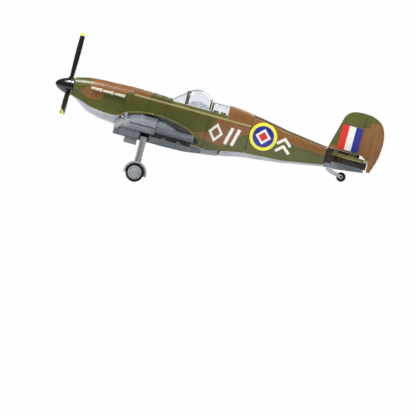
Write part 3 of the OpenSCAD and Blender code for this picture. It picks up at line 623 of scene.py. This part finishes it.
def hull():
    shoulder_strips()
    dress("cowl_shells", printed_shell, bevel=0.3)
    dress("nose_deck", printed_shell, bevel=0.3)
    dress("front_side_panels", printed_panel_highlit, bevel=0.3)
    dress("rear_side_panels", printed_panel_highlit, bevel=0.3)
    dress("tail_cone_shells", printed_shell, bevel=0.3)
    dress("spine", brown_abs, [(AFT, [168.9, 176.9])], bevel=0.35)
    dress("spine_strip", olive_abs, bevel=0.25)
    dress("cockpit_sill", olive_abs, [(AFT, [117, 125, 133, 145, 153])], bevel=0.3)
    dress("chin_fairing", pale_abs, [(AFT, [32.9, 48.9])], bevel=0.4)
    dress("belly_rear", pale_abs, [(AFT, [176.9, 192.9, 208.9, 224.9, 240.9])], bevel=0.4)
    # The nose ring is dark as painted shade: the thin gap behind the spinner.
    dress("nose_ring", dark_abs)
    joint_liners()
    dress("bearing_brick", dark_abs)
    dress("core_bricks", dark_abs)
    dress("exhaust_stubs", ivory_lacquer, bevel=0.25)


# ---- Cockpit and glazing ----
HOOD_TOP = [(118, 22.6), (122, 24.6), (126, 26.7), (130.5, 27.4), (135, 26.5), (140, 24.2),
            (144.3, 21.6), (147, 20)]
REAR_TOP = 19.8             # height of the glazing behind the hood


def arch(half, top, base):
    """Half hoop across the hull, from sill to sill over the top."""
    rim = [(half * math.sin(q) * 1.02, base + (top - base) * math.cos(q) ** 0.62)
           for q in (math.radians(d) for d in range(-80, 81, 8))]
    return [(-half, base)] + rim + [(half, base)]


def arched_shell(name, stations, body, nodes, material, slot, wall=0.9):
    """A thin hooped moulding: stations give (place aft, half width, top, base)."""
    rings = []
    for x, half, top, base in stations:
        outer = arch(half, top, base)
        inner = arch(half - wall, top - wall, base)
        rings.append([(x, y, z) for y, z in outer + inner[::-1]])
    bm = loft(bmesh.new(), rings, AIRCRAFT)
    place_piece(name, bm, body, material, nodes, bevel=0.15)


def hood_panels():
    """Tinted lower panels inside the sliding hood, with a curved upper edge."""
    bm = bmesh.new()
    for side in (-1, 1):
        rings = []
        for x in spread(123.6, 142.4, 24):
            rise = 12.2 + 5.4 * math.sqrt(max(0.0, 1 - ((x - 133) / 9.5) ** 2))
            lean = [(side * (7.25 - 0.3 * ((z - 12) / 6) ** 2), z) for z in spread(12.05, rise, 4)]
            back = [(x, y - side * 0.35, z) for y, z in lean[::-1]]
            rings.append([(x, y, z) for y, z in lean] + back)
        loft(bm, rings, AIRCRAFT)
    place_piece("hood_inner_panels", bm, "hood", lilac_abs, bevel=0)


def crown_bead(name, body, tops):
    """Raised grey bead along the crown of a clear moulding, a painted reflection: the grey line
    glass shows where it is seen edge on. Tops give (place aft, height).
    """
    corners = ((-0.35, -0.3), (-0.35, 0.2), (0.35, 0.2), (0.35, -0.3))
    bm = loft(bmesh.new(), [[(x, y, z + rise) for y, rise in corners] for x, z in tops], AIRCRAFT)
    place_piece(name, bm, body, outline_grey_abs, bevel=0.1)


def screen_top(x):
    """Height of the windscreen's crown."""
    return 14.2 + (x - 109) * 0.8


def crown_beads():
    front = [(x, screen_top(x)) for x in spread(109.5, 119.6, 4)]
    middle = [(x, curve_through(HOOD_TOP, x)) for x in spread(123, 142, 20)]
    rear = [(x, REAR_TOP) for x in spread(146.2, 160.7, 2)]
    crown_bead("windscreen_reflection_bead", "airframe", front)
    crown_bead("hood_reflection_bead", "hood", middle)
    crown_bead("rear_reflection_bead", "airframe", rear)


def glasses():
    """The three clear mouldings, and the dark rim at the hood's front."""
    front = [(x, 4 + (x - 109) * 0.35, screen_top(x), 11.8) for x in spread(109.5, 119.6, 8)]
    middle = [(x, 8.4, curve_through(HOOD_TOP, x), 12) for x in spread(123, 142.5, 20)]
    rear = [(x, 6.6, REAR_TOP, 11.8) for x in spread(146.1, 160.8, 4)]
    rim = [(x, 8.45, curve_through(HOOD_TOP, x) + 0.05, 12) for x in (121.6, 122.9)]
    clear = glazing, "clear_glazing"
    arched_shell("windscreen_glass", front, "airframe", ["windscreen"], *clear)
    arched_shell("hood_glass", middle, "hood", ["hood"], *clear)
    arched_shell("rear_glass", rear, "airframe", ["rear_glazing"], *clear)
    arched_shell("hood_front_rim", rim, "hood", [], frame_abs, "olive_shell", wall=1.1)


def cockpit():
    hood_panels()
    crown_beads()
    glasses()
    dress("canopy_frames", frame_abs, bevel=0.2)
    dress("hood_frame", frame_abs, bevel=0.2)
    dress("cockpit_tub", dark_abs)
    dress("cockpit_fittings", fitting_abs, bevel=0.3)


# ---- Propeller ----
# Outlines of turned pieces: place along the axle line and radius
SPINNER_LINE = [(0, 0.12), (0.15, 0.8), (0.6, 1.8), (1.4, 2.7), (2.6, 3.7), (4.2, 4.75), (6, 5.7),
                (8, 6.45), (10, 7.15), (12, 7.75), (13.4, 8.1), (13.5, 7.95), (13.8, 7.95),
                (13.9, 8.2), (16, 8.5), (16.1, 8.35)]
COLLAR_LINE = [(6.2, 2.6), (8.6, 2.5), (8.9, 2.2), (8.9, 0.5)]
BLADE_SPAN, TIP_SPAN = (6.5, 47.9), (48, 50.9)      # radii of the black and the yellow part
BLADES = 3


def blade_ring(r):
    """Aerofoil section of a blade at a radius, as (across, aft) points."""
    tip = max(0.0, r - 46.5) / 4.55
    swell = 2.0 + 1.9 * math.sin(math.radians(min(90, (r - 7) * 2.6)))
    half = swell * (max(0.0, 1 - tip ** 2.4) ** 0.5 + 0.02)
    thick = 0.42 + 0.75 * max(0.0, 1 - r / 55)
    twist = math.radians(40 + r * 0.35)
    ring = []
    for i in range(24):
        t = 2 * math.pi * i / 24
        across, deep = half * math.cos(t), thick * math.sin(t) * (1.15 + 0.5 * math.cos(t))
        ring.append((-(across * math.sin(twist) - deep * math.cos(twist)),
                     across * math.cos(twist) + deep * math.sin(twist)))
    return ring


def propeller():
    bm = turned(bmesh.new(), SPINNER_LINE, AIRCRAFT, 64)
    place_piece("spinner_dome", bm, "propeller", black_abs, ["spinner"], bevel=0)
    black, yellow = bmesh.new(), bmesh.new()
    for i in range(BLADES):
        turn = AIRCRAFT @ Matrix.Rotation(math.radians(360 / BLADES * i), 4, "X")
        for bm, span, steps in ((black, BLADE_SPAN, 22), (yellow, TIP_SPAN, 12)):
            rings = [[(SPINNER_TO_BLADES + aft, across, r) for across, aft in blade_ring(r)]
                     for r in spread(*span, steps)]
            loft(bm, rings, turn)
        outward = Matrix.Rotation(math.radians(-90), 4, "Y")
        root = turn @ Matrix.Translation((SPINNER_TO_BLADES, 0, 0)) @ outward
        turned(black, COLLAR_LINE, root, 20)
    place_piece("propeller_blades_moulded", black, "propeller", black_abs,
                ["propeller_blades"], 0.1)
    place_piece("blade_tips_printed", yellow, "propeller", yellow_abs,
                ["blade_tips"], 0)
    dress("prop_shaft", dark_abs)


# ---- Wing ----
GUN_BAY = 106, 115          # no plate joint between these places out along the wing
OUTBOARD = {side: (wing_axes(side).to_3x3() @ Vector((0, 1, 0))).normalized() for side in (-1, 1)}


def wing_places(side, places):
    """Cut places along a wing, as distances from the spinner's tip along the wing's direction."""
    direction, axes = OUTBOARD[side], wing_axes(side)
    return direction, [(axes @ Vector((100, y, 0)) - TIP).dot(direction) / MM for y in places]


def gap_studs():
    """Studs of the lower plates, seen in the slot under the leading edge."""
    bm = bmesh.new()
    for side in (-1, 1):
        axes = wing_axes(side)
        for y in [start + PITCH * i for start in (45, 119) for i in range(7)]:
            x, z = lead_x(y) + 3.4, -1.2
            stud(bm, (x, y, z), axes, radius=2.4, height=1.45)
            if y < 97:
                stud(bm, (x + 0.45 * PITCH, y + 0.5 * PITCH, z), axes, radius=1.1, height=1.3)
    place_piece("gap_studs", bm, "airframe", grey_abs, bevel=0)


# Faces that look down; on the wing skins they take the painted shade black.
def faces_down(place, way):
    return way.z < -0.6


def slot_painted_shade():
    """Dark boxes at the backs of the slots between the centre blocks and the plates below them:
    painted shade.
    """
    bm = bmesh.new()
    for side in (-1, 1):
        for middle in (102.1, 116.6, 130):
            box_between(bm, (middle - 5, side * 40.6, -25.6), (middle + 5, side * 41.15, -23.9),
                        AIRCRAFT)
    place_piece("slot_painted_shade", bm, "airframe", dark_abs, bevel=0.1)


def wings():
    gap_studs()
    for side, name in ((-1, "left"), (1, "right")):
        direction, seams = wing_places(side, [27, 41, 57, 73, 89, 105, 121, 137, 153])
        dress("wing_skin_" + name, printed_wing, [(direction, seams)], bevel=0.22,
              other=(shade_black_abs, faces_down))
        direction, seams = wing_places(side, [123, 139])
        dress("aileron_" + name, printed_wing, [(direction, seams)], bevel=0.22,
              other=(shade_black_abs, faces_down))
    plate_ends = [41 + PITCH * i for i in range(17)]
    plate_ends = [y for y in plate_ends if not GUN_BAY[0] < y < GUN_BAY[1]]
    grid = sorted(side * y for side in (-1, 1) for y in plate_ends)
    dress("wing_front_plates", grey_abs, [(STARBOARD, grid), (AFT, [84.5])], bevel=0.2)
    dress("wing_rear_plates", grey_abs, bevel=0.2)
    dress("wing_beams", dark_abs)
    dress("gun_bays", steel_lacquer)
    dress("gun_muzzle_fairings", grey_abs)
    dress("wing_centre_blocks", grey_abs, [(AFT, [75.8, 81.8, 97.8, 105.8, 121.8, 129.8])],
          bevel=0.25)
    dress("root_edges", pale_abs, bevel=0.3)
    pale_from = 144.9
    dress("belly_centre", grey_abs, [(AFT, [72.8, 80.8, 112.9, 128.9, pale_from])], bevel=0.3,
          other=(pale_abs, lambda place, way: place.x > pale_from))
    slot_painted_shade()
    dress("radiator", grey_abs, bevel=0.25)
    dress("oil_cooler", grey_abs, bevel=0.25)


# ---- Undercarriage ----
TYRE_LINE = [(-2.45, 6.3), (-2.45, 7.4), (-2.1, 7.95), (-1.45, 8.3), (-0.8, 8.3), (-0.65, 8.05),
             (-0.35, 8.05), (-0.2, 8.3), (0.2, 8.3), (0.35, 8.05), (0.65, 8.05), (0.8, 8.3),
             (1.45, 8.3), (2.1, 7.95), (2.45, 7.4), (2.45, 6.3)]
RIM_LINE = [(-2.45, 1.68), (-2.45, 3.2), (-1.9, 3.4), (-1.6, 5.2), (-2.3, 5.5), (-2.4, 6.3),
            (2.4, 6.3), (2.4, 5.6), (2.1, 5.35), (0.6, 5.2), (0.6, 4.75), (1.7, 4.6), (1.75, 3.1),
            (1.1, 2.9), (1.1, 2.6), (2.0, 2.4), (2.1, 1.68)]
STRUT_LINE = [(5.3, 0.9), (5.4, 1.25), (13, 1.25), (13.1, 1.0), (13.9, 1.0), (14, 1.25), (24, 1.25),
              (24.1, 0.9)]
LEG_PIN = (91.6, 27.9, -27.5)
LEG_TOP = -30               # the leg is dark above this height


def wheel(name):
    """A dished rim with raised rings and its ribbed tyre, turned on the wheel's own axle line."""
    joint = next(j for j in frame["joints"] if j["name"] == "wheel_" + name + "_spin")
    side = -1 if name == "left" else 1
    outward = Vector(joint["axis"]).normalized()
    outward = outward if outward.y * side > 0 else -outward
    across = outward.cross(UP).normalized()
    turn = Matrix((outward, across, outward.cross(across))).transposed().to_4x4()
    axes = Matrix.Translation(Vector(joint["pos_m"])) @ turn @ Matrix.Scale(MM, 4)
    body = "wheel_" + name
    rim = turned(bmesh.new(), RIM_LINE, axes, 56, closed=True)
    place_piece("rim_" + name, rim, body, bright_abs, ["wheel_rim_" + name],
                bevel=0.12)
    tread = turned(bmesh.new(), TYRE_LINE, axes, 64, closed=True)
    place_piece("tyre_ribbed_" + name, tread, body, rubber, ["tyre_" + name],
                bevel=0.12)


def oleo_strut(name):
    """Bright round strut lying in the outboard channel of a leg."""
    side = -1 if name == "left" else 1
    axes = (AIRCRAFT @ Matrix.Diagonal((1, side, 1, 1)) @ Matrix.Translation(LEG_PIN)
            @ Matrix.Rotation(math.radians(6), 4, "X"))
    down = axes @ Matrix.Translation((0, 2.05, 0)) @ Matrix.Rotation(math.radians(90), 4, "Y")
    strut = turned(bmesh.new(), STRUT_LINE, down, 24)
    place_piece("oleo_strut_" + name, strut, "leg_" + name, silver_lacquer, bevel=0)


def tail_axle_caps():
    """Pale ring and dark pin on both faces of the tail fork."""
    joint = next(j for j in frame["joints"] if j["name"] == "tail_wheel_spin")
    axle = Matrix.Translation(Vector(joint["pos_m"])) @ Matrix.Scale(MM, 4)
    rings, pins = bmesh.new(), bmesh.new()
    for side in (-1, 1):
        face = axle @ Matrix.Diagonal((1, side, 1, 1)) @ Matrix.Rotation(math.radians(90), 4, "Z")
        turned(rings, [(3.35, 1.75), (3.7, 1.75), (3.85, 1.55), (3.85, 1.0)], face, 28)
        turned(pins, [(3.3, 0.95), (3.95, 0.95), (4.05, 0.8)], face, 24)
    place_piece("tail_axle_rings", rings, "airframe", silver_lacquer, bevel=0)
    place_piece("tail_axle_pins", pins, "airframe", dark_abs, bevel=0)


def undercarriage():
    tail_axle_caps()
    dress("leg_brackets", dark_abs)
    dress("leg_pins", steel_lacquer)
    for name in ("left", "right"):
        dress("gear_leg_" + name, bright_abs, bevel=0.3,
              other=(dark_abs, lambda place, way: place.z > LEG_TOP))
        dress("mudguard_" + name, bright_abs, bevel=0.25)
        wheel(name)
        oleo_strut(name)
    dress("tail_strut", pale_abs, bevel=0.25)
    dress("tail_tyre", rubber, bevel=0.3)
    dress("tail_hub", pale_abs)


# ---- Tail ----
def tail():
    dress("tail_core", umber_abs, bevel=0.2)
    dress("fin", printed_tail, [(UP, [16.6, 24.8, 33.6]),
                                (AFT, [265.8, 272.1, 278.4, RUDDER_EDGE])], bevel=0.2)
    dress("rudder", printed_tail, [(AFT, [290.4, 293.6, 296.8, 300])], bevel=0.2)
    dress("tailplanes", printed_plane_highlit, bevel=0.25)
    dress("elevator_left", olive_abs, bevel=0.25)
    dress("elevator_right", olive_abs, bevel=0.25)
    dress("tail_under_plates", grey_abs, bevel=0.25)


# ---- Studio ----
def soft_light(name, place, aim, size, power):
    lamp = bpy.data.lights.new(name, "AREA")
    lamp.shape, lamp.size, lamp.energy = "SQUARE", size, power
    made = bpy.data.objects.new(name, lamp)
    made.location = place
    made.rotation_mode = "QUATERNION"
    made.rotation_quaternion = (Vector(aim) - Vector(place)).to_track_quat("-Z", "Y")
    bpy.context.scene.collection.objects.link(made)


def studio():
    """A pale table and two large soft lights."""
    world = bpy.data.worlds.new("studio_white")
    world.use_nodes = True
    tree = world.node_tree
    ray = add(tree, "ShaderNodeLightPath").outputs
    seen = calc(tree, "MAXIMUM", ray["Is Camera Ray"], ray["Is Transmission Ray"])
    around = add(tree, "ShaderNodeMapRange", {0: ray["Is Glossy Ray"], 3: 0.5, 4: 0.14}).outputs[0]
    strength = add(tree, "ShaderNodeMapRange", {0: seen, 3: around, 4: 0.99}).outputs[0]
    tree.links.new(strength, tree.nodes["Background"].inputs["Strength"])
    tree.nodes["Background"].inputs["Color"].default_value = (1, 1, 1, 1)
    bpy.context.scene.world = world
    paper, tree = new_material("seamless_white_paper")
    grain = add(tree, "ShaderNodeTexNoise", {"Scale": 60.0, "Detail": 2.0}).outputs[0]
    shell = add(tree, "ShaderNodeBsdfPrincipled", {"Roughness": 0.9, "Base Color": mixed(
        tree, grain, linear("#F4F4F2"), linear("#FAFAF8"))})
    add(tree, "ShaderNodeOutputMaterial", {"Surface": shell.outputs[0]})
    bm = bmesh.new()
    for x, y in ((-2, -2), (2, -2), (2, 2), (-2, 2)):
        bm.verts.new((x, y, cad_box[0].z - 0.0002))
    bm.faces.new(bm.verts)
    mesh = bpy.data.meshes.new("table_top")
    bm.to_mesh(mesh)
    mesh.materials.append(paper)
    table = bpy.data.objects.new("table_top", mesh)
    bpy.context.scene.collection.objects.link(table)
    soft_light("key_above", (-0.2, -0.3, 0.95), (0, 0, 0.05), 0.4, 9)
    soft_light("rim_behind", (0.5, 0.7, 0.6), (0, 0, 0.05), 0.6, 3)
    bpy.context.scene.view_settings.view_transform = "Standard"


def camera():
    """Side view, level, from the port side, with the aircraft in the upper half of the frame."""
    lens = bpy.data.cameras.new("side_view")
    lens.type, lens.ortho_scale = "ORTHO", 0.3827
    made = bpy.data.objects.new("side_view", lens)
    made.location = (-0.0109, -1.2, -0.0241)
    made.rotation_euler = (math.radians(90), 0, 0)
    lens.clip_end = 10
    bpy.context.scene.collection.objects.link(made)
    bpy.context.scene.camera = made


hull()
cockpit()
propeller()
wings()
undercarriage()
tail()
studio()
camera()
bpy.context.view_layer.update()
